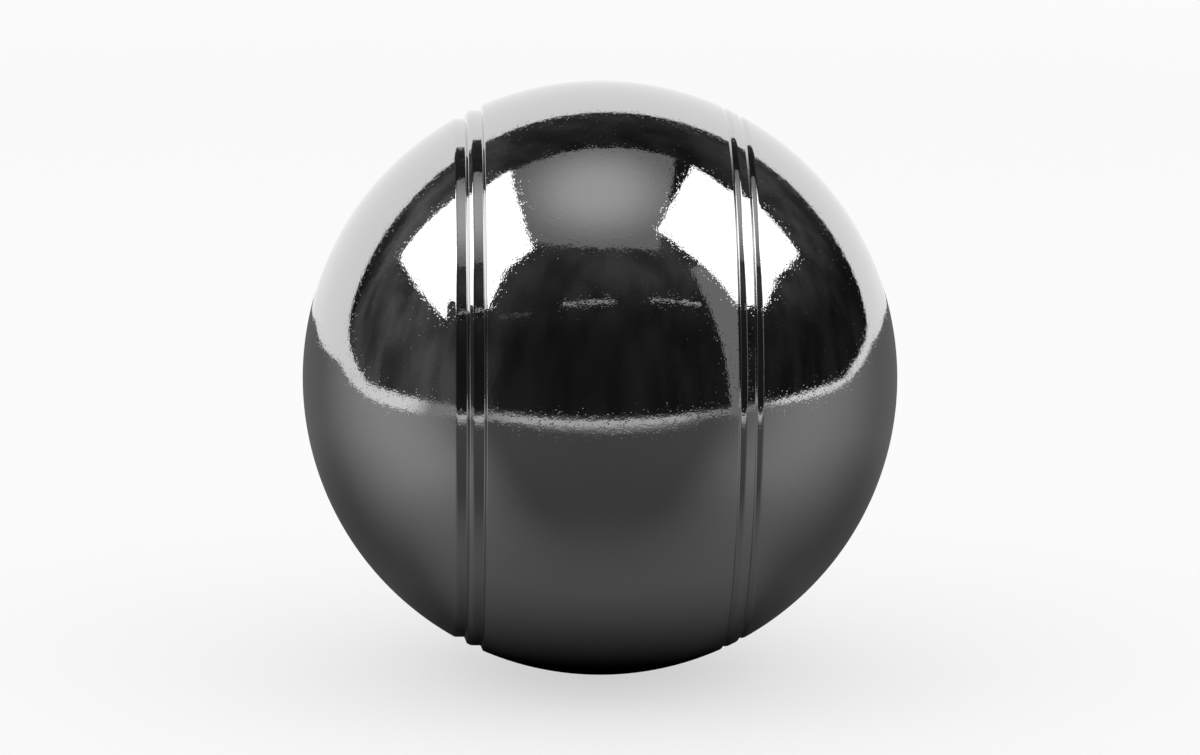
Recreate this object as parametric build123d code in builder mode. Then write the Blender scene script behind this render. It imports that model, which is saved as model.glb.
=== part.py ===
from build123d import *
import os
from math import asin, cos, dist, radians, sin, sqrt, tan

# A leisure petanque boule: two grooved steel half shells, welded at the seam round a mortar core.
# Every piece is turned about +X, the axis square to the seam. The origin is the ball's centre.

# Driving dimensions, in millimetres and degrees

# Ball and shell
BALL_DIAMETER = 73.0
SHELL_WALL = 2.5

# Turned grooves, the same number on each half. Those of the right half are cut shallower and blunter
GROOVES_PER_SIDE = 2
SEAM_TO_GROOVE = 14.76  # from the seam plane to the foot of the first groove's wall
GROOVE_PITCH = 2.0
LEFT_GROOVE_FLOOR = 1.17  # from the wall's foot to where the floor runs out of the ball
RIGHT_GROOVE_FLOOR = 0.7
GROOVE_WALL_LEAN = 22.0  # how far the wall leans back from square to the axis
LEFT_FOOT_RADIUS = 0.15  # between the floor and the wall
RIGHT_FOOT_RADIUS = 0.3
WALL_CREST_RADIUS = 0.2
RUN_OUT_RADIUS = 0.8

# Seam: a spigot on the left half centres the right half and backs the weld
SPIGOT_LENGTH = 3.0  # past the seam plane
SPIGOT_WALL = 1.0
SPIGOT_CLEARANCE = 0.05  # round the spigot
SPIGOT_END_CLEARANCE = 0.2  # past its end
WELD_WIDTH = 2.4  # of the bead, where it is ground flush with the ball
WELD_ROOT_WIDTH = 0.6  # of the bead, where it meets the spigot

# Filling hole at the right pole, and the plug that closes it
FILL_HOLE_DIAMETER = 7.0
PLUG_HEAD_DIAMETER = 10.0
PLUG_HEAD_HEIGHT = 1.2  # at the pole, from the seat to the ball's surface
PLUG_SHANK_LENGTH = 0.8
PLUG_CLEARANCE = 0.02  # round the plug

# Mortar core
CORE_SHRINKAGE = 0.05  # gap that the mortar leaves as it dries

# Sizes that follow from these
BALL_RADIUS = BALL_DIAMETER / 2
BORE_RADIUS = BALL_RADIUS - SHELL_WALL
SPIGOT_RADIUS = BORE_RADIUS + SPIGOT_WALL
PLUG_SEAT = BALL_RADIUS - PLUG_HEAD_HEIGHT
PLUG_END = PLUG_SEAT - PLUG_SHANK_LENGTH
LEFT, RIGHT = -1, 1
GROOVE_FLOOR = {LEFT: LEFT_GROOVE_FLOOR, RIGHT: RIGHT_GROOVE_FLOOR}
FOOT_RADIUS = {LEFT: LEFT_FOOT_RADIUS, RIGHT: RIGHT_FOOT_RADIUS}


def height_on(radius, x):
    """Distance from the axis to a sphere of this radius, at x along the axis."""
    return sqrt(radius**2 - x**2)


def angle_on(radius, x):
    """Angle from +X, in degrees, of the point of a circle of this radius at x."""
    return Vector(1, 0).get_angle(Vector(x, height_on(radius, x)))


def groove_corners(number, side):
    """Run-out, wall foot and wall crest of one groove's section, counted from the seam."""
    foot_x = SEAM_TO_GROOVE + number * GROOVE_PITCH
    run_out_x = foot_x + GROOVE_FLOOR[side]
    floor = height_on(BALL_RADIUS, run_out_x)
    lean = radians(GROOVE_WALL_LEAN)
    along = floor * cos(lean) - foot_x * sin(lean)
    wall = sqrt(along**2 + BALL_RADIUS**2 - foot_x**2 - floor**2) - along
    crest_x = foot_x - wall * sin(lean)
    corners = (run_out_x, floor), (foot_x, floor), (crest_x, floor + wall * cos(lean))
    return [(side * x, y) for x, y in corners]


def run_out_rounding(number, side):
    """Radius of the edge where a groove runs out, which takes up at most half the land beyond it."""
    run_out = groove_corners(number, side)[0]
    next_crest = groove_corners(number + 1, side)[2]
    turn = asin(abs(run_out[0]) / BALL_RADIUS)
    return min(RUN_OUT_RADIUS, dist(run_out, next_crest) / 2 / tan(turn / 2))


def cut_grooves(profile, side):
    """Takes the grooves out of a half shell's section, with their edges rounded as polishing leaves them."""
    reach = SHELL_WALL
    back = reach * tan(radians(GROOVE_WALL_LEAN))
    for number in range(GROOVES_PER_SIDE):
        run_out, foot, crest = groove_corners(number, side)
        outside = run_out[0] + side * reach
        Polygon(
            (outside, run_out[1]),
            foot,
            (foot[0] - side * back, foot[1] + reach),
            (outside, foot[1] + reach),
            align=None,
            mode=Mode.SUBTRACT,
        )
        for corner, radius in (
            (foot, FOOT_RADIUS[side]),
            (crest, WALL_CREST_RADIUS),
            (run_out, run_out_rounding(number, side)),
        ):
            fillet(profile.vertices().sort_by_distance(corner)[0], radius)


# Left half shell: its rim is bevelled for the weld and carries the spigot
with BuildPart() as left_half_shell:
    with BuildSketch() as left_section:
        bevel_top = (-WELD_WIDTH / 2, height_on(BALL_RADIUS, WELD_WIDTH / 2))
        bevel_root = (-WELD_ROOT_WIDTH / 2, SPIGOT_RADIUS)
        spigot_end = (SPIGOT_LENGTH, SPIGOT_RADIUS)
        spigot_bore = (SPIGOT_LENGTH, height_on(BORE_RADIUS, SPIGOT_LENGTH))
        with BuildLine():
            CenterArc((0, 0), BALL_RADIUS, 180, angle_on(BALL_RADIUS, bevel_top[0]) - 180)
            Polyline(bevel_top, bevel_root, spigot_end, spigot_bore)
            CenterArc((0, 0), BORE_RADIUS, 180, angle_on(BORE_RADIUS, SPIGOT_LENGTH) - 180)
            Line((-BORE_RADIUS, 0), (-BALL_RADIUS, 0))
        make_face()
        cut_grooves(left_section, LEFT)
    revolve(axis=Axis.X)

# Right half shell: rebated inside for the spigot, with the stepped filling hole at its pole
with BuildPart() as right_half_shell:
    with BuildSketch() as right_section:
        rebate_radius = SPIGOT_RADIUS + SPIGOT_CLEARANCE
        rebate_x = SPIGOT_LENGTH + SPIGOT_END_CLEARANCE
        bevel_top = (WELD_WIDTH / 2, height_on(BALL_RADIUS, WELD_WIDTH / 2))
        bevel_root = (WELD_ROOT_WIDTH / 2, rebate_radius)
        rebate_end = (rebate_x, rebate_radius)
        rebate_bore = (rebate_x, height_on(BORE_RADIUS, rebate_x))
        with BuildLine():
            CenterArc((0, 0), BALL_RADIUS, 0, angle_on(BALL_RADIUS, bevel_top[0]))
            Polyline(bevel_top, bevel_root, rebate_end, rebate_bore)
            CenterArc((0, 0), BORE_RADIUS, 0, angle_on(BORE_RADIUS, rebate_x))
            Line((BORE_RADIUS, 0), (BALL_RADIUS, 0))
        make_face()
        cut_grooves(right_section, RIGHT)
    revolve(axis=Axis.X)
    with Locations(Plane(origin=(BALL_RADIUS, 0, 0), z_dir=(1, 0, 0))):
        CounterBoreHole(
            radius=FILL_HOLE_DIAMETER / 2,
            counter_bore_radius=PLUG_HEAD_DIAMETER / 2,
            counter_bore_depth=PLUG_HEAD_HEIGHT,
            depth=BALL_RADIUS,
        )

# Girth weld: one bead that fills the bevels down to the spigot, ground flush with the ball
with BuildPart() as girth_weld:
    with BuildSketch() as bead_section:
        toe = (WELD_WIDTH / 2, height_on(BALL_RADIUS, WELD_WIDTH / 2))
        toe_angle = angle_on(BALL_RADIUS, toe[0])
        with BuildLine():
            CenterArc((0, 0), BALL_RADIUS, toe_angle, 180 - 2 * toe_angle)
            Polyline(
                (-toe[0], toe[1]),
                (-WELD_ROOT_WIDTH / 2, SPIGOT_RADIUS),
                (WELD_ROOT_WIDTH / 2, SPIGOT_RADIUS),
                (WELD_ROOT_WIDTH / 2, SPIGOT_RADIUS + SPIGOT_CLEARANCE),
                toe,
            )
        make_face()
    revolve(axis=Axis.X)

# Filling plug: its head sits on the step of the hole and is ground to the ball's curve
with BuildPart() as fill_plug:
    head_radius = PLUG_HEAD_DIAMETER / 2 - PLUG_CLEARANCE
    shank_radius = FILL_HOLE_DIAMETER / 2 - PLUG_CLEARANCE
    with BuildSketch(Plane.YZ.offset(PLUG_SEAT)):
        Circle(head_radius)
    extrude(amount=PLUG_HEAD_HEIGHT)
    with BuildSketch(Plane.YZ.offset(PLUG_SEAT)):
        Circle(shank_radius)
    extrude(amount=-PLUG_SHANK_LENGTH)
    Sphere(BALL_RADIUS, mode=Mode.INTERSECT)

# Mortar core: cast in the shell, with the short stub left where it was poured in
with BuildPart() as mortar_core:
    Sphere(BORE_RADIUS - CORE_SHRINKAGE)
    with BuildSketch(Plane.YZ):
        Circle(FILL_HOLE_DIAMETER / 2 - CORE_SHRINKAGE)
    extrude(amount=PLUG_END - CORE_SHRINKAGE)

PIECES = {
    "left_half_shell": left_half_shell,
    "right_half_shell": right_half_shell,
    "girth_weld": girth_weld,
    "fill_plug": fill_plug,
    "mortar_core": mortar_core,
}

os.makedirs("parts", exist_ok=True)
for name, piece in PIECES.items():
    piece.part.label = name
    export_step(piece.part, f"parts/{name}.step")
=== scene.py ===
from math import asin, atan2, ceil, cos, dist, pi, radians, sin, sqrt, tan

import bmesh
import bpy
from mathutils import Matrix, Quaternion, Vector


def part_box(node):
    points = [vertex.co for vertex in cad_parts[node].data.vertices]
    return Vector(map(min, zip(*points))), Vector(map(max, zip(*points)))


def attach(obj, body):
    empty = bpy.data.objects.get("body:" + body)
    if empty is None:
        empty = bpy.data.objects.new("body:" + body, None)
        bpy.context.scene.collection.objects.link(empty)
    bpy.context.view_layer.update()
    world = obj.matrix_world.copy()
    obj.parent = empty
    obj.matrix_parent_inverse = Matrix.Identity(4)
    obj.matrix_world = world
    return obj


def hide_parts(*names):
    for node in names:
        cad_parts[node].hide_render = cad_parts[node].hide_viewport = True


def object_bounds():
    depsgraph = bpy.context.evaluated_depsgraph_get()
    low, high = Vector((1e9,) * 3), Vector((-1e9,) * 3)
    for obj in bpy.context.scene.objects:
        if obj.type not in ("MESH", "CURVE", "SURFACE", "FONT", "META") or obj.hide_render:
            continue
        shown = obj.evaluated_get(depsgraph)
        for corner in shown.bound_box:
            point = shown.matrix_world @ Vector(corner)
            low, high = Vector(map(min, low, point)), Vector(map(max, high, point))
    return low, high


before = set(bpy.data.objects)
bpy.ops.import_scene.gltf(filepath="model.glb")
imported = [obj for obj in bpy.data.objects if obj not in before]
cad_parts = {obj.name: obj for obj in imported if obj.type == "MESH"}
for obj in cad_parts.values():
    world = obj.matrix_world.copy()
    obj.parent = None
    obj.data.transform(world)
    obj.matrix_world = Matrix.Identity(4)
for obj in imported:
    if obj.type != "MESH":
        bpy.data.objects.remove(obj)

# A chrome petanque boule: two grooved half shells, the weld between them, the filling plug and the core.
# Lengths are in metres. Every shell piece is turned about +X, with the ball's centre at the origin.

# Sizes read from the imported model
CAD_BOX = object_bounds()
BALL_RADIUS = -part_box("left_half_shell")[0].x
SPIGOT_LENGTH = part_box("left_half_shell")[1].x
WELD_HALF_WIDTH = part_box("girth_weld")[1].x
PLUG_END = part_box("fill_plug")[0].x
PLUG_HEAD_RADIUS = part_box("fill_plug")[1].y
FLOOR_HEIGHT = CAD_BOX[0].z

# Shell, seam and plug, as in the part
CENTRE = (0, 0)
SHELL_WALL = 2.5e-3
SPIGOT_WALL = 1.0e-3
SPIGOT_CLEARANCE = 0.05e-3
SPIGOT_END_CLEARANCE = 0.2e-3
WELD_ROOT_HALF_WIDTH = 0.3e-3
FILL_HOLE_RADIUS = 3.5e-3
PLUG_SHANK_LENGTH = 0.8e-3
PLUG_CLEARANCE = 0.02e-3
BORE_RADIUS = BALL_RADIUS - SHELL_WALL
SPIGOT_RADIUS = BORE_RADIUS + SPIGOT_WALL
REBATE_RADIUS = SPIGOT_RADIUS + SPIGOT_CLEARANCE
REBATE_LENGTH = SPIGOT_LENGTH + SPIGOT_END_CLEARANCE
PLUG_SEAT = PLUG_END + PLUG_SHANK_LENGTH
PLUG_SHANK_RADIUS = FILL_HOLE_RADIUS - PLUG_CLEARANCE
COUNTERBORE_RADIUS = PLUG_HEAD_RADIUS + PLUG_CLEARANCE

# Turned grooves, as in the part. Those of the right half are cut shallower and blunter
GROOVES_PER_SIDE = 2
SEAM_TO_GROOVE = 14.76e-3
GROOVE_PITCH = 2.0e-3
LEFT_GROOVE_FLOOR = 1.17e-3
RIGHT_GROOVE_FLOOR = 0.7e-3
GROOVE_WALL_LEAN = radians(22)
LEFT_FOOT_RADIUS = 0.15e-3
RIGHT_FOOT_RADIUS = 0.3e-3
WALL_CREST_RADIUS = 0.2e-3
RUN_OUT_RADIUS = 0.8e-3

# Fineness of the turned meshes
TURN_SEGMENTS = 360
BALL_STEP = radians(1.2)
BORE_STEP = radians(4)
ROUNDING_STEP = radians(9)
SAME_PLACE = 1e-8

# Where most of the noise lies, between 0 and 1
NOISE_SPAN = (0.3, 0.7)

# Chrome: heights in micrometres, the rest in metres
CHROME_COLOUR = 0.57
CHROME_ROUGHNESS = (0.02, 0.05)
PEEL_WAVE = 0.26e-3
PEEL_HEIGHT = 3.0
FLAW_SPACING = 0.32e-3
FLAW_RADIUS = 0.14e-3
FLAW_HEIGHT = 6.5
RIPPLE_WAVE = 0.7e-3
RIPPLE_HEIGHT = 4.0
STREAK_WAVE = 0.25e-3
STREAK_LENGTH = 4e-3
STREAK_HEIGHT = 1.0
MICROMETRE = 1e-6

# Mortar
CEMENT_CLOUDS_PER_METRE = 250.0
SAND_GRAINS_PER_METRE = 900.0
SAND_SHARE = 0.3
CEMENT_COLOUR = (0.20, 0.185, 0.165, 1)
SAND_COLOUR = (0.52, 0.49, 0.44, 1)
MORTAR_RELIEF = 0.3e-3
MORTAR_ROUGHNESS = 0.95

# Camera
CAMERA_AZIMUTH = radians(-2.6)
CAMERA_ELEVATION = radians(10)
CAMERA_ROLL = radians(0.4)
CAMERA_DISTANCE = 0.525
CAMERA_LENS = 128
CAMERA_CLIP_START = 0.01

# Studio set round the ball, seen only in the chrome. It faces the camera
FORWARD = (0, -1, 0)
STAGE_SEGMENTS = 128
TABLE_FRONT = ((-0.17, -0.272), (0.25, -0.318))
TABLE_RIGHT = ((0.45, -0.21), (0.51, -0.09), (0.50, 0.04), (0.58, 0.17), (0.80, 0.38), (1.18, 0.80))
TABLE_FAR_RIGHT = ((2.0, 1.72), (1.1, 1.25), (0.5, 0.84))
TABLE_BACK = ((0.0, 0.26),)
TABLE_FAR_LEFT = ((-0.42, 0.66), (-0.66, 0.53), (-0.93, 0.51))
TABLE_LEFT = ((-0.61, 0.245), (-0.416, 0.096), (-0.311, 0.0), (-0.275, -0.12))
TABLE_ROUNDING = 0.06
TABLE_ROUNDING_SEGMENTS = 8
TABLE_LIFT = 0.2e-3
WHITE_FLOOR_WIDTH = 1.1
BOOTH_CENTRE = (0.10, 0.15)
BOOTH_REACH = (0.78, 0.60, 0.60)
BOOTH_FRONT = -0.39
BOOTH_FRONT_SLANT = 0.1
BOOTH_OPENING = 0.384
BOOTH_TURN = radians(16)
BOOTH_CURVE = 0.077
BOOTH_CURVE_MIDDLE = 0.6
BOOTH_CORNER_FEET = ((-0.644, 0.092), (0.888, 0.214))
BOOTH_CORNER_SPREAD = 1.39
BOOTH_CORNER_LEAN = 4.0
BOOTH_CORNER_ROUNDING = 0.2
BOOTH_EDGE_SOFTNESS = 0.005

# Softboxes of the set. A corner is its place along Y and its way down the slope
SOFTBOX_DISTANCE = 0.36
SOFTBOX_TILT = radians(46)
SOFTBOX_GLOW = 2.2
LEFT_SOFTBOX = (
    (-0.195, -0.123),
    (-0.2, -0.045),
    (-0.265, 0.05),
    (-0.14, 0.1),
    (-0.172, 0.141),
    (0.076, 0.108),
    (0.076, -0.02),
    (0.05, -0.06),
    (0.073, -0.13),
)
RIGHT_SOFTBOX = (
    (-0.153, -0.166),
    (-0.168, -0.09),
    (-0.176, 0.03),
    (-0.186, 0.084),
    (-0.116, 0.126),
    (-0.036, 0.096),
    (0.076, 0.098),
    (0.088, -0.02),
    (0.068, -0.06),
    (0.093, -0.131),
)

# Panel, strips and band of the set. A strip is its two ends, each as X and height, and its strength
PANEL_HEIGHT = 0.4
PANEL_CORNERS = ((-0.205, -0.27), (0.159, -0.238), (0.138, 0.116), (-0.21, 0.077))
PANEL_BRIGHTEST = (0.022, 0.022, 0)
STRIP_DISTANCE = 0.30
STRIP_THICKNESS = 0.008
STRIPS = {
    "left_strip": ((-0.267, 0.208), (-0.164, 0.201), 0.1),
    "middle_strip": ((-0.087, 0.219), (0.035, 0.225), 0.4),
    "right_strip": ((0.118, 0.240), (0.286, 0.262), 0.5),
}
BAND_AZIMUTH = radians(53)
BAND_DISTANCE = 0.36
BAND_HEIGHT = 0.37
BAND_FOOT_SIDES = (-0.032, 0)
BAND_TOP_SIDES = (-0.045, 0.06)
# Painted light of the grey band
BAND_GLOW = 0.22

# Painted light and shade of the set. A fade is where it starts and ends, and its strengths there unless
# they are 0 and 1
# Painted shade on the white floor in the narrow gap at the front
WHITE_FLOOR_FRONT = (0.7, 0.95, 0.3, 0.6)
WHITE_FLOOR_SIDES = (0.55, 0.25)
TABLE_GLOW = 0.067
TABLE_FRONT_FACING = (0.26, 0.67)
TABLE_FRONT_REACH = (0.071, 0.027, 0.0, 0.05)
TABLE_BACK_FACING = (1.5, -0.55, 0.0, 0.073)
TABLE_BACK_REACH = (0.04, 0.144)
TABLE_EDGE_FACING = (0.75, 1.0)
TABLE_EDGE_REACH = (0.2, 0.3, 0.0, 0.33)
# Reach of the painted contact shadow under the ball
TABLE_PAINTED_SHADOW_REACH = (0.011, 0.038)
POOL_MIDDLE = (0, -0.0445, 0)
POOL_FACING = (0.68, 1.8)
POOL_REACH = (0.002, 0.09)
POOL_GLOW = (1.2, 0.82)
# Painted light on the dark room's walls
BOOTH_LEFT_GLOW = (0.16, 0.52, 0.0, 0.085)
BOOTH_LEFT_EDGE = (-0.03, -0.1, 0.15, 1.0)
BOOTH_LEFT_CLOUD = (0.35, 1.0)
BOOTH_HIGH_GLOW = (0.18, 0.46, 0.013, 0.056)
BOOTH_HIGH_CLOUD = (0.6, 1.4)
BOOTH_TOP_DIMMING = (0.46, 0.57, 1.0, 0.25)
BOOTH_CLOUDS_PER_METRE = (12, 12, 3)
BOOTH_FOOT_HEIGHT = 0.015
BOOTH_FOOT_GLOW = 0.12
# Painted light of the grey panel, brighter towards its middle
PANEL_GLOW = (0.2, 0.024, 0.2, 0.52)

# Light on the floor
WORLD_LIGHT = 0.9
LAMP_POWER = 1.0
LAMP_SIZE = 0.6
LAMP_PLACE = Vector((0.7, -0.3, 0.8))
FLOOR_RADIUS = 1.6
FLOOR_FADE_START = 0.35 * FLOOR_RADIUS
FLOOR_FADE_END = 0.95 * FLOOR_RADIUS
FLOOR_COLOUR = (0.92, 0.92, 0.92, 1)
FLOOR_GLOW = 0.6


# Sections of the turned pieces: stretches of points (x, y, angle of the normal), run counter-clockwise


def arc(centre, radius, start, end, step, hollow=False):
    """Stretch along a circle. A hollow one faces its centre."""
    count = max(1, ceil(abs(end - start) / step))
    flip = pi if hollow else 0
    stretch = []
    for number in range(count + 1):
        angle = start + (end - start) * number / count
        x = centre[0] + radius * cos(angle)
        y = centre[1] + radius * sin(angle)
        stretch.append((x, y, angle + flip))
    return stretch


def straight(*corners):
    """Straight stretches from corner to corner."""
    stretches = []
    for start, end in zip(corners, corners[1:]):
        normal = atan2(end[1] - start[1], end[0] - start[0]) - pi / 2
        stretches.append([(*start, normal), (*end, normal)])
    return stretches


def at_x(x, radius):
    """Point of a circle round the centre, at x along the axis."""
    return x, sqrt(radius**2 - x**2)


def at_height(height, radius):
    """Point of a circle round the centre, on the right, at this distance from the axis."""
    return sqrt(radius**2 - height**2), height


def angle_of(point):
    """Angle of a point round the centre, from +X."""
    return atan2(point[1], point[0])


def groove_base(number, floor):
    """Wall foot of a groove right of the seam, counted from it, and run-out of its floor of this length."""
    foot_x = SEAM_TO_GROOVE + number * GROOVE_PITCH
    run_out = at_x(foot_x + floor, BALL_RADIUS)
    return Vector((foot_x, run_out[1])), Vector(run_out)


def crest_centre(foot, rounding):
    """Centre of the rounding between a groove's wall and the ball."""
    up_wall = Vector((-sin(GROOVE_WALL_LEAN), cos(GROOVE_WALL_LEAN)))
    off_wall = Vector((cos(GROOVE_WALL_LEAN), sin(GROOVE_WALL_LEAN)))
    start = foot - rounding * off_wall
    start_rise = start.dot(up_wall)
    rise = sqrt(start_rise**2 - start.length_squared + (BALL_RADIUS - rounding) ** 2) - start_rise
    return start + rise * up_wall


def run_out_rounding(number, floor):
    """Radius of the edge where a groove runs out, which takes up at most half the land beyond it."""
    run_out = groove_base(number, floor)[1]
    next_crest = crest_centre(groove_base(number + 1, floor)[0], 0)
    turn = asin(run_out.x / BALL_RADIUS)
    return min(RUN_OUT_RADIUS, dist(run_out, next_crest) / 2 / tan(turn / 2))


def groove(number, floor, foot_radius):
    """Stretches of one groove right of the seam, with the angles where it leaves and meets the ball."""
    foot, run_out = groove_base(number, floor)
    off_wall = Vector((cos(GROOVE_WALL_LEAN), sin(GROOVE_WALL_LEAN)))
    edge = run_out_rounding(number, floor)
    edge_centre = Vector(at_height(run_out.y - edge, BALL_RADIUS - edge))
    foot_shift = foot_radius * (1 - sin(GROOVE_WALL_LEAN)) / cos(GROOVE_WALL_LEAN)
    foot_centre = foot + Vector((foot_shift, foot_radius))
    crest = crest_centre(foot, WALL_CREST_RADIUS)
    stretches = [
        arc(edge_centre, edge, angle_of(edge_centre), pi / 2, ROUNDING_STEP),
        *straight((edge_centre.x, foot.y), (foot_centre.x, foot.y)),
        arc(foot_centre, foot_radius, 1.5 * pi, pi + GROOVE_WALL_LEAN, ROUNDING_STEP, hollow=True),
        *straight(foot_centre - foot_radius * off_wall, crest + WALL_CREST_RADIUS * off_wall),
        arc(crest, WALL_CREST_RADIUS, GROOVE_WALL_LEAN, angle_of(crest), ROUNDING_STEP),
    ]
    return stretches, angle_of(edge_centre), angle_of(crest)


def grooved_surface(start, floor, foot_radius):
    """Outer surface right of the seam, from this angle near the pole to the weld, with its grooves."""
    stretches = []
    for number in reversed(range(GROOVES_PER_SIDE)):
        cut, leaves, meets = groove(number, floor, foot_radius)
        stretches.append(arc(CENTRE, BALL_RADIUS, start, leaves, BALL_STEP))
        stretches.extend(cut)
        start = meets
    weld_toe = angle_of(at_x(WELD_HALF_WIDTH, BALL_RADIUS))
    stretches.append(arc(CENTRE, BALL_RADIUS, start, weld_toe, BALL_STEP))
    return stretches


def mirrored(stretches):
    """The same stretches on the other half, still run counter-clockwise."""
    flipped = []
    for stretch in reversed(stretches):
        flipped.append([(-x, y, pi - normal) for x, y, normal in reversed(stretch)])
    return flipped


def left_section():
    """Left half shell, with the spigot that centres the right half."""
    bore_end = at_x(SPIGOT_LENGTH, BORE_RADIUS)
    return [
        *mirrored(grooved_surface(0, LEFT_GROOVE_FLOOR, LEFT_FOOT_RADIUS)),
        arc(CENTRE, BORE_RADIUS, pi, angle_of(bore_end), BORE_STEP, hollow=True),
        *straight(
            bore_end,
            (SPIGOT_LENGTH, SPIGOT_RADIUS),
            (-WELD_ROOT_HALF_WIDTH, SPIGOT_RADIUS),
            at_x(-WELD_HALF_WIDTH, BALL_RADIUS),
        ),
    ]


def right_section():
    """Right half shell, rebated for the spigot, with the stepped filling hole at its pole."""
    hole_edge = at_height(COUNTERBORE_RADIUS, BALL_RADIUS)
    hole_bore = at_height(FILL_HOLE_RADIUS, BORE_RADIUS)
    rebate_bore = at_x(REBATE_LENGTH, BORE_RADIUS)
    return [
        *grooved_surface(angle_of(hole_edge), RIGHT_GROOVE_FLOOR, RIGHT_FOOT_RADIUS),
        *straight(
            at_x(WELD_HALF_WIDTH, BALL_RADIUS),
            (WELD_ROOT_HALF_WIDTH, REBATE_RADIUS),
            (REBATE_LENGTH, REBATE_RADIUS),
            rebate_bore,
        ),
        arc(CENTRE, BORE_RADIUS, angle_of(rebate_bore), angle_of(hole_bore), BORE_STEP, hollow=True),
        *straight(
            hole_bore,
            (PLUG_SEAT, FILL_HOLE_RADIUS),
            (PLUG_SEAT, COUNTERBORE_RADIUS),
            hole_edge,
        ),
    ]


def weld_section():
    """Weld bead, ground flush with the ball."""
    toe = at_x(WELD_HALF_WIDTH, BALL_RADIUS)
    far_toe = at_x(-WELD_HALF_WIDTH, BALL_RADIUS)
    return [
        arc(CENTRE, BALL_RADIUS, angle_of(toe), angle_of(far_toe), BALL_STEP),
        *straight(
            far_toe,
            (-WELD_ROOT_HALF_WIDTH, SPIGOT_RADIUS),
            (WELD_ROOT_HALF_WIDTH, SPIGOT_RADIUS),
            (WELD_ROOT_HALF_WIDTH, REBATE_RADIUS),
            toe,
        ),
    ]


def plug_section():
    """Filling plug, ground to the ball's curve."""
    rim = at_height(PLUG_HEAD_RADIUS, BALL_RADIUS)
    return [
        arc(CENTRE, BALL_RADIUS, 0, angle_of(rim), BALL_STEP),
        *straight(
            rim,
            (PLUG_SEAT, PLUG_HEAD_RADIUS),
            (PLUG_SEAT, PLUG_SHANK_RADIUS),
            (PLUG_END, PLUG_SHANK_RADIUS),
            (PLUG_END, 0),
        ),
    ]


# Turned meshes


def ring_at(rings, x, y):
    """Number of the ring at this point of a section, which is added if it is new."""
    for number, ring in enumerate(rings):
        if dist(ring, (x, y)) < SAME_PLACE:
            return number
    rings.append((x, y))
    return len(rings) - 1


def turned(name, stretches):
    """Closed mesh turned about +X, with the true surface's normal at each corner of each face."""
    rings = []
    spans = []
    for stretch in stretches:
        for (x, y, normal), (next_x, next_y, next_normal) in zip(stretch, stretch[1:]):
            spans.append((ring_at(rings, x, y), normal, ring_at(rings, next_x, next_y), next_normal))

    turns = [2 * pi * number / TURN_SEGMENTS for number in range(TURN_SEGMENTS)]
    points = []
    first_point = []
    for x, y in rings:
        first_point.append(len(points))
        ring_turns = turns if y > SAME_PLACE else turns[:1]
        points.extend((x, y * cos(turn), y * sin(turn)) for turn in ring_turns)

    faces = []
    normals = []
    for ring, normal, next_ring, next_normal in spans:
        for number in range(TURN_SEGMENTS):
            face = {}
            for corner_ring, corner_normal, corner in (
                (ring, normal, number),
                (next_ring, next_normal, number),
                (next_ring, next_normal, (number + 1) % TURN_SEGMENTS),
                (ring, normal, (number + 1) % TURN_SEGMENTS),
            ):
                on_axis = rings[corner_ring][1] <= SAME_PLACE
                point = first_point[corner_ring] + (0 if on_axis else corner)
                radial = sin(corner_normal)
                turn = turns[corner]
                face.setdefault(point, (cos(corner_normal), radial * cos(turn), radial * sin(turn)))
            faces.append(list(face))
            normals.extend(face.values())

    mesh = bpy.data.meshes.new(name)
    mesh.from_pydata(points, [], faces)
    mesh.polygons.foreach_set("use_smooth", [True] * len(faces))
    mesh.normals_split_custom_set(normals)
    return mesh


def add_piece(name, stands_for, stretches, material):
    """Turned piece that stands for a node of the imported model."""
    piece = bpy.data.objects.new(name, turned(name, stretches))
    bpy.context.scene.collection.objects.link(piece)
    piece.data.materials.append(material)
    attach(piece, "root")
    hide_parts(stands_for)


# Shader nodes


def new_tree(name):
    """New material, with its empty node tree."""
    material = bpy.data.materials.new(name)
    material.use_nodes = True
    material.node_tree.nodes.clear()
    return material, material.node_tree


def node(tree, kind, inputs, **settings):
    """New node. An input given as a socket is linked, and any other value is written on the input."""
    made = tree.nodes.new(kind)
    for name, value in settings.items():
        setattr(made, name, value)
    for name, value in inputs.items():
        if isinstance(value, bpy.types.NodeSocket):
            tree.links.new(value, made.inputs[name])
        else:
            made.inputs[name].default_value = value
    return made


def calculate(tree, operation, *values):
    """Result of one step of arithmetic."""
    return node(tree, "ShaderNodeMath", dict(enumerate(values)), operation=operation).outputs[0]


def smooth_step(tree, value, start, end, low=0.0, high=1.0):
    """Value that goes smoothly from low at start to high at end."""
    ends = {"Value": value, "From Min": start, "From Max": end, "To Min": low, "To Max": high}
    return node(tree, "ShaderNodeMapRange", ends, interpolation_type="SMOOTHSTEP").outputs["Result"]


def object_place(tree):
    """Coordinates in metres, about the origin of the object that has the material."""
    return node(tree, "ShaderNodeTexCoord", {}).outputs["Object"]


def noise(tree, place, scale, detail=2.0):
    """Soft random value, from 0 to 1."""
    look = {"Vector": place, "Scale": scale, "Detail": detail}
    return node(tree, "ShaderNodeTexNoise", look).outputs[0]


def on_places(tree, operation, *places):
    """Node that works on places or directions."""
    return node(tree, "ShaderNodeVectorMath", dict(enumerate(places)), operation=operation)


def scaled(tree, place, factors):
    """Place with each coordinate times its own factor."""
    return on_places(tree, "MULTIPLY", place, factors).outputs["Vector"]


def output(tree, surface):
    """Ends a material with its surface."""
    node(tree, "ShaderNodeOutputMaterial", {"Surface": surface})


# Materials of the boule


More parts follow.
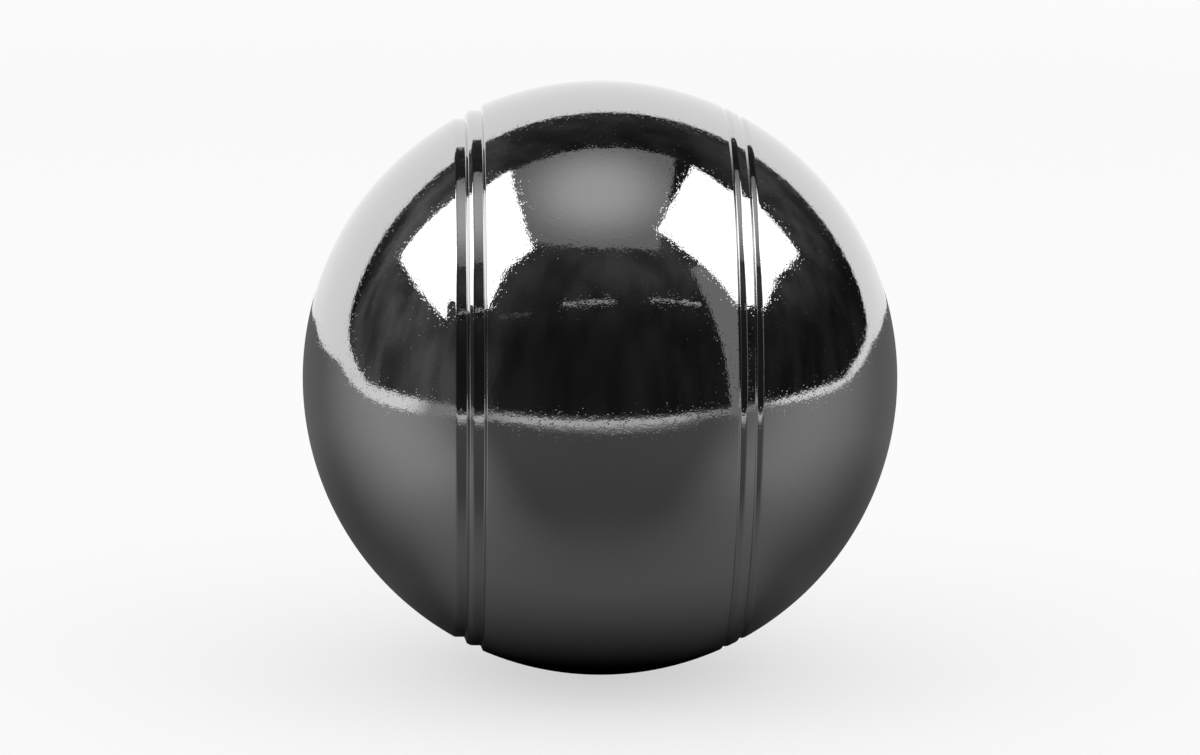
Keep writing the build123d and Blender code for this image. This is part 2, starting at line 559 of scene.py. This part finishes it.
def chrome():
    """Polished chrome plate: orange peel on a slight ripple, pits and nibs, and streaks round the axis."""
    material, tree = new_tree("polished_chrome")
    place = object_place(tree)
    peel = noise(tree, place, 1 / PEEL_WAVE, detail=1)
    streak_place = scaled(tree, place, (1 / STREAK_WAVE, 1 / STREAK_LENGTH, 1 / STREAK_LENGTH))
    streaks = noise(tree, streak_place, 1.0)
    ripple = noise(tree, place, 1 / RIPPLE_WAVE, detail=0)
    cells = node(tree, "ShaderNodeTexVoronoi", {"Vector": place, "Scale": 1 / FLAW_SPACING})
    up_or_down = calculate(tree, "MULTIPLY_ADD", cells.outputs["Color"], 2.0, -1.0)
    flaws = smooth_step(tree, cells.outputs["Distance"], FLAW_RADIUS / FLAW_SPACING, 0, 0, FLAW_HEIGHT)
    height = calculate(tree, "MULTIPLY", peel, PEEL_HEIGHT)
    height = calculate(tree, "MULTIPLY_ADD", flaws, up_or_down, height)
    height = calculate(tree, "MULTIPLY_ADD", streaks, STREAK_HEIGHT, height)
    height = calculate(tree, "MULTIPLY_ADD", ripple, RIPPLE_HEIGHT, height)
    bump = node(tree, "ShaderNodeBump", {"Height": height, "Distance": MICROMETRE, "Strength": 1.0})
    shader = node(
        tree,
        "ShaderNodeBsdfPrincipled",
        {
            "Base Color": (CHROME_COLOUR, CHROME_COLOUR, CHROME_COLOUR, 1),
            "Metallic": 1.0,
            "Roughness": smooth_step(tree, streaks, *NOISE_SPAN, *CHROME_ROUGHNESS),
            "Normal": bump.outputs[0],
        },
    )
    output(tree, shader.outputs[0])
    return material


def mortar():
    """Dry cast mortar: grey cement with sand grains and pores."""
    material, tree = new_tree("cast_mortar")
    place = object_place(tree)
    cloud = noise(tree, place, CEMENT_CLOUDS_PER_METRE, detail=6)
    grains = node(tree, "ShaderNodeTexVoronoi", {"Vector": place, "Scale": SAND_GRAINS_PER_METRE})
    tone = calculate(tree, "MULTIPLY_ADD", grains.outputs["Distance"], SAND_SHARE, cloud)
    colour = node(tree, "ShaderNodeValToRGB", {"Fac": tone})
    colour.color_ramp.elements[0].color = CEMENT_COLOUR
    colour.color_ramp.elements[1].color = SAND_COLOUR
    bump = node(tree, "ShaderNodeBump", {"Height": tone, "Distance": MORTAR_RELIEF, "Strength": 1.0})
    shader = node(
        tree,
        "ShaderNodeBsdfPrincipled",
        {"Base Color": colour.outputs[0], "Roughness": MORTAR_ROUGHNESS, "Normal": bump.outputs[0]},
    )
    output(tree, shader.outputs[0])
    return material


# Studio set


def glow(name, strength_of):
    """Material that shines with the strength that a function makes in its node tree."""
    material, tree = new_tree(name)
    shader = node(tree, "ShaderNodeEmission", {"Strength": strength_of(tree)})
    output(tree, shader.outputs[0])
    return material


def flat_reach(tree, place):
    """Distance from the origin, seen from above."""
    return on_places(tree, "LENGTH", scaled(tree, place, (1, 1, 0))).outputs["Value"]


def along(tree, place, direction):
    """How far a place lies from the origin in a direction."""
    return on_places(tree, "DOT_PRODUCT", place, direction).outputs["Value"]


def facing(tree, place, direction):
    """How far the way to a place, seen from above, points in a direction: 1 along it, -1 against it."""
    return calculate(tree, "DIVIDE", along(tree, place, direction), flat_reach(tree, place))


def white_floor_strength(tree):
    """White floor that shows round the table, dimmed by painted shade in the narrow gap at the front."""
    forward = facing(tree, object_place(tree), FORWARD)
    painted_front_shade = smooth_step(tree, forward, *WHITE_FLOOR_FRONT)
    return calculate(tree, "MAXIMUM", painted_front_shade, smooth_step(tree, forward, *WHITE_FLOOR_SIDES))


def painted_table_light_and_shade(tree):
    """Dark table top's glow, all painted: painted light behind the ball, each side and at the near edge,
    and a painted shadow under the ball.
    """
    place = object_place(tree)
    reach = flat_reach(tree, place)
    forward = facing(tree, place, FORWARD)
    in_front = smooth_step(tree, forward, *TABLE_FRONT_FACING)
    light = calculate(tree, "MULTIPLY", in_front, smooth_step(tree, reach, *TABLE_FRONT_REACH))
    behind = smooth_step(tree, forward, *TABLE_BACK_FACING)
    light = calculate(tree, "MULTIPLY_ADD", behind, smooth_step(tree, reach, *TABLE_BACK_REACH), light)
    near_edge = smooth_step(tree, along(tree, place, FORWARD), *TABLE_EDGE_REACH)
    edge_facing = smooth_step(tree, forward, *TABLE_EDGE_FACING)
    light = calculate(tree, "MULTIPLY_ADD", near_edge, edge_facing, light)
    # Painted pools of light each side of the ball
    pool_place = on_places(tree, "SUBTRACT", place, POOL_MIDDLE).outputs["Vector"]
    pool_reach = smooth_step(tree, flat_reach(tree, pool_place), *POOL_REACH)
    for side, strength in zip((-1, 1), POOL_GLOW):
        sideways = facing(tree, pool_place, (side, 0, 0))
        pool = smooth_step(tree, sideways, *POOL_FACING, 0.0, strength)
        light = calculate(tree, "MULTIPLY_ADD", pool, pool_reach, light)
    # Painted contact shadow: the glow fades out under the ball
    painted_contact_shadow = smooth_step(tree, reach, *TABLE_PAINTED_SHADOW_REACH)
    return calculate(tree, "MULTIPLY", calculate(tree, "ADD", light, TABLE_GLOW), painted_contact_shadow)


def beyond(tree, place, point, outward):
    """How far a place lies beyond a plane, on its outward side."""
    return calculate(tree, "SUBTRACT", along(tree, place, outward), point.dot(outward))


def booth_back(tree, place):
    """How far a place lies behind the room's back edge, which curves back to the left."""
    back = Vector((-sin(BOOTH_TURN), cos(BOOTH_TURN), 0))
    edge = beyond(tree, place, Vector((0, BOOTH_OPENING, 0)), back)
    aside = beyond(tree, place, Vector((BOOTH_CURVE_MIDDLE, 0, 0)), Vector((1, 0, 0)))
    bend = calculate(tree, "MULTIPLY", aside, aside)
    return calculate(tree, "MULTIPLY_ADD", bend, -BOOTH_CURVE, edge)


def booth_wall_painted_light(tree, place, edge):
    """Painted light on the dark room's walls: a little lighter on the left, high up and at the foot."""
    left = smooth_step(tree, along(tree, place, (-1, 0, 0)), *BOOTH_LEFT_GLOW)
    left = calculate(tree, "MULTIPLY", left, smooth_step(tree, edge, *BOOTH_LEFT_EDGE))
    height = along(tree, place, (0, 0, 1))
    high = smooth_step(tree, height, *BOOTH_HIGH_GLOW)
    high = calculate(tree, "MULTIPLY", high, smooth_step(tree, height, *BOOTH_TOP_DIMMING))
    cloud = noise(tree, scaled(tree, place, BOOTH_CLOUDS_PER_METRE), 1.0)
    light = calculate(tree, "MULTIPLY", high, smooth_step(tree, cloud, *NOISE_SPAN, *BOOTH_HIGH_CLOUD))
    left_cloud = smooth_step(tree, cloud, *NOISE_SPAN, *BOOTH_LEFT_CLOUD)
    light = calculate(tree, "MULTIPLY_ADD", left, left_cloud, light)
    foot_top = FLOOR_HEIGHT + BOOTH_FOOT_HEIGHT
    foot = smooth_step(tree, height, foot_top, FLOOR_HEIGHT, 0.0, BOOTH_FOOT_GLOW)
    return calculate(tree, "ADD", light, foot)


def booth_opening(tree, place, edge):
    """1 where the room is open at the back, and 0 on its walls."""
    for side, foot in zip((-1, 1), BOOTH_CORNER_FEET):
        outward = Vector((side, BOOTH_CORNER_SPREAD, -BOOTH_CORNER_LEAN)).normalized()
        corner = beyond(tree, place, Vector((*foot, FLOOR_HEIGHT)), outward)
        edge = calculate(tree, "SMOOTH_MAX", edge, corner, BOOTH_CORNER_ROUNDING)
    return smooth_step(tree, edge, 0.0, BOOTH_EDGE_SOFTNESS)


def dark_room():
    """Dark room, open to the white background at the back, with painted light on its walls."""
    material, tree = new_tree("dark_room")
    place = object_place(tree)
    edge = booth_back(tree, place)
    wall = node(tree, "ShaderNodeEmission", {"Strength": booth_wall_painted_light(tree, place, edge)})
    clear = node(tree, "ShaderNodeBsdfTransparent", {})
    ends = {0: booth_opening(tree, place, edge), 1: wall.outputs[0], 2: clear.outputs[0]}
    output(tree, node(tree, "ShaderNodeMixShader", ends).outputs[0])
    return material


def painted_panel_light(tree):
    """Painted light of the grey panel overhead, brightest near its middle."""
    reach = on_places(tree, "DISTANCE", object_place(tree), PANEL_BRIGHTEST).outputs["Value"]
    return smooth_step(tree, reach, *PANEL_GLOW)


def set_up(thing, studio):
    """Puts a thing in the studio set, where only the chrome sees it."""
    bpy.context.scene.collection.objects.link(thing)
    thing.parent = studio
    thing.visible_camera = False
    thing.visible_diffuse = False
    thing.visible_transmission = False
    thing.visible_volume_scatter = False
    thing.visible_shadow = False


def card(name, corners, material, studio):
    """Flat card, with its corners about its own middle."""
    middle = sum(corners, Vector()) / len(corners)
    mesh = bpy.data.meshes.new(name)
    mesh.from_pydata([corner - middle for corner in corners], [], [range(len(corners))])
    mesh.materials.append(material)
    thing = bpy.data.objects.new(name, mesh)
    thing.location = middle
    set_up(thing, studio)


def add_table(studio):
    """Dark table top under the ball, with rounded corners, that glows with painted light and a painted
    shadow.
    """
    shape = bmesh.new()
    height = FLOOR_HEIGHT + TABLE_LIFT
    outline = TABLE_FRONT + TABLE_RIGHT + TABLE_FAR_RIGHT + TABLE_BACK + TABLE_FAR_LEFT + TABLE_LEFT
    corners = [shape.verts.new((x, y, height)) for x, y in outline]
    shape.faces.new(corners)
    bmesh.ops.bevel(
        shape,
        geom=corners,
        offset=TABLE_ROUNDING,
        segments=TABLE_ROUNDING_SEGMENTS,
        profile=0.5,
        affect="VERTICES",
    )
    mesh = bpy.data.meshes.new("table_top")
    shape.to_mesh(mesh)
    shape.free()
    mesh.materials.append(glow("dark_table_painted_light", painted_table_light_and_shade))
    set_up(bpy.data.objects.new("table_top", mesh), studio)


def add_white_floor(studio):
    """White floor under the table, which shows round its edge."""
    half = WHITE_FLOOR_WIDTH / 2
    height = FLOOR_HEIGHT + TABLE_LIFT / 2
    outline = ((-half, -half), (half, -half), (half, half), (-half, half))
    corners = [Vector((*corner, height)) for corner in outline]
    card("white_floor", corners, glow("white_floor", white_floor_strength), studio)


def add_booth(studio):
    """Dark dome round the ball, with a flat front wall."""
    shape = bmesh.new()
    bmesh.ops.create_uvsphere(shape, u_segments=STAGE_SEGMENTS, v_segments=STAGE_SEGMENTS // 2, radius=1)
    bmesh.ops.scale(shape, verts=shape.verts, vec=BOOTH_REACH)
    bmesh.ops.translate(shape, verts=shape.verts, vec=(*BOOTH_CENTRE, FLOOR_HEIGHT))
    for point in shape.verts:
        point.co.y = max(point.co.y, BOOTH_FRONT - BOOTH_FRONT_SLANT * point.co.x)
    everything = [*shape.verts, *shape.edges, *shape.faces]
    foot = (0, 0, FLOOR_HEIGHT)
    bmesh.ops.bisect_plane(shape, geom=everything, plane_co=foot, plane_no=(0, 0, -1), clear_outer=True)
    mesh = bpy.data.meshes.new("booth")
    shape.to_mesh(mesh)
    shape.free()
    mesh.materials.append(dark_room())
    set_up(bpy.data.objects.new("booth", mesh), studio)


def add_softboxes(studio):
    """Two softboxes, one each side, tilted towards the ball, with drawn-in edges."""
    material = glow("softbox", lambda tree: SOFTBOX_GLOW)
    for name, side, outline in (("left_softbox", -1, LEFT_SOFTBOX), ("right_softbox", 1, RIGHT_SOFTBOX)):
        outward = Vector((side * cos(SOFTBOX_TILT), 0, sin(SOFTBOX_TILT)))
        slope = Vector((side * sin(SOFTBOX_TILT), 0, -cos(SOFTBOX_TILT)))
        corners = [SOFTBOX_DISTANCE * outward + Vector((0, y, 0)) + down * slope for y, down in outline]
        card(name, corners, material, studio)


def add_panel(studio):
    """Grey panel overhead, that glows with painted light."""
    corners = [Vector((*corner, PANEL_HEIGHT)) for corner in PANEL_CORNERS]
    card("overhead_panel", corners, glow("grey_panel_painted_light", painted_panel_light), studio)


def add_strips(studio):
    """Three faint strip lights across the front of the booth."""
    rise = Vector((0, 0, STRIP_THICKNESS))
    for name, (left_end, right_end, strength) in STRIPS.items():
        left = Vector((left_end[0], -STRIP_DISTANCE, left_end[1]))
        right = Vector((right_end[0], -STRIP_DISTANCE, right_end[1]))
        material = glow(name, lambda tree: strength)
        card(name, [left, right, right + rise, left + rise], material, studio)


def add_band(studio):
    """Grey upright band at the front right, wider towards its top, that glows with painted light."""
    outward = Vector((sin(BAND_AZIMUTH), -cos(BAND_AZIMUTH), 0))
    aside = Vector((cos(BAND_AZIMUTH), sin(BAND_AZIMUTH), 0))
    foot = BAND_DISTANCE * outward + Vector((0, 0, FLOOR_HEIGHT))
    top = BAND_DISTANCE * outward + Vector((0, 0, BAND_HEIGHT))
    corners = [foot + side * aside for side in BAND_FOOT_SIDES]
    corners += [top + side * aside for side in reversed(BAND_TOP_SIDES)]
    card("grey_band", corners, glow("grey_cloth_painted_light", lambda tree: BAND_GLOW), studio)


def add_studio():
    """Set that the chrome reflects, turned to face the camera."""
    studio = bpy.data.objects.new("studio", None)
    bpy.context.scene.collection.objects.link(studio)
    studio.rotation_euler.z = CAMERA_AZIMUTH
    add_table(studio)
    add_white_floor(studio)
    add_booth(studio)
    add_softboxes(studio)
    add_panel(studio)
    add_strips(studio)
    add_band(studio)


# Floor, light and camera


def seen_rays(tree):
    """1 for rays that see the background, straight, in a mirror or through glass, and 0 for the rest."""
    path = node(tree, "ShaderNodeLightPath", {})
    seen = calculate(tree, "MAXIMUM", path.outputs["Is Camera Ray"], path.outputs["Is Glossy Ray"])
    return calculate(tree, "MAXIMUM", seen, path.outputs["Is Transmission Ray"])


def floor_material():
    """Pale floor, partly as white as the background, that fades into it."""
    material, tree = new_tree("pale_floor")
    surface = node(tree, "ShaderNodeBsdfDiffuse", {"Color": FLOOR_COLOUR})
    white = node(tree, "ShaderNodeEmission", {"Strength": 1.0})
    share = calculate(tree, "MULTIPLY", seen_rays(tree), FLOOR_GLOW)
    lit = node(tree, "ShaderNodeMixShader", {0: share, 1: surface.outputs[0], 2: white.outputs[0]})
    reach = flat_reach(tree, object_place(tree))
    fade = smooth_step(tree, reach, FLOOR_FADE_START, FLOOR_FADE_END)
    clear = node(tree, "ShaderNodeBsdfTransparent", {})
    mixed = node(tree, "ShaderNodeMixShader", {0: fade, 1: lit.outputs[0], 2: clear.outputs[0]})
    output(tree, mixed.outputs[0])
    return material


def add_floor():
    """Round pale floor under the ball."""
    shape = bmesh.new()
    bmesh.ops.create_circle(shape, cap_ends=True, segments=STAGE_SEGMENTS, radius=FLOOR_RADIUS)
    mesh = bpy.data.meshes.new("floor")
    shape.to_mesh(mesh)
    shape.free()
    mesh.materials.append(floor_material())
    floor = bpy.data.objects.new("floor", mesh)
    floor.location.z = FLOOR_HEIGHT
    bpy.context.scene.collection.objects.link(floor)


def add_world():
    """White background for the camera and in the chrome, and a softer white light on the floor."""
    world = bpy.data.worlds.new("white_studio")
    bpy.context.scene.world = world
    world.use_nodes = True
    tree = world.node_tree
    tree.nodes.clear()
    strength = calculate(tree, "MULTIPLY_ADD", seen_rays(tree), 1 - WORLD_LIGHT, WORLD_LIGHT)
    background = node(tree, "ShaderNodeBackground", {"Color": (1, 1, 1, 1), "Strength": strength})
    node(tree, "ShaderNodeOutputWorld", {"Surface": background.outputs[0]})


def add_lamps():
    """Two large soft lamps, one each side."""
    for name, side in (("left_lamp", -1), ("right_lamp", 1)):
        light = bpy.data.lights.new(name, "AREA")
        light.shape = "SQUARE"
        light.size = LAMP_SIZE
        light.energy = LAMP_POWER
        lamp = bpy.data.objects.new(name, light)
        lamp.location = LAMP_PLACE * Vector((side, 1, 1))
        lamp.rotation_mode = "QUATERNION"
        lamp.rotation_quaternion = lamp.location.to_track_quat("Z", "Y")
        lamp.visible_camera = False
        lamp.visible_glossy = False
        bpy.context.scene.collection.objects.link(lamp)


def add_camera():
    """Camera at the photograph's angle, aimed at the ball's centre."""
    camera = bpy.data.objects.new("camera", bpy.data.cameras.new("camera"))
    camera.data.lens = CAMERA_LENS
    camera.data.clip_start = CAMERA_CLIP_START
    back = Vector(
        (
            sin(CAMERA_AZIMUTH) * cos(CAMERA_ELEVATION),
            -cos(CAMERA_AZIMUTH) * cos(CAMERA_ELEVATION),
            sin(CAMERA_ELEVATION),
        )
    )
    camera.location = CAMERA_DISTANCE * back
    camera.rotation_mode = "QUATERNION"
    camera.rotation_quaternion = back.to_track_quat("Z", "Y") @ Quaternion((0, 0, 1), CAMERA_ROLL)
    bpy.context.scene.collection.objects.link(camera)
    bpy.context.scene.camera = camera


plate = chrome()
add_piece("left_half_polished", "left_half_shell", left_section(), plate)
add_piece("right_half_polished", "right_half_shell", right_section(), plate)
add_piece("girth_weld_polished", "girth_weld", weld_section(), plate)
add_piece("fill_plug_polished", "fill_plug", plug_section(), plate)
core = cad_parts["mortar_core"]
core.data.materials.clear()
core.data.materials.append(mortar())
add_studio()
add_floor()
add_world()
add_lamps()
add_camera()
bpy.context.scene.view_settings.view_transform = "Standard"
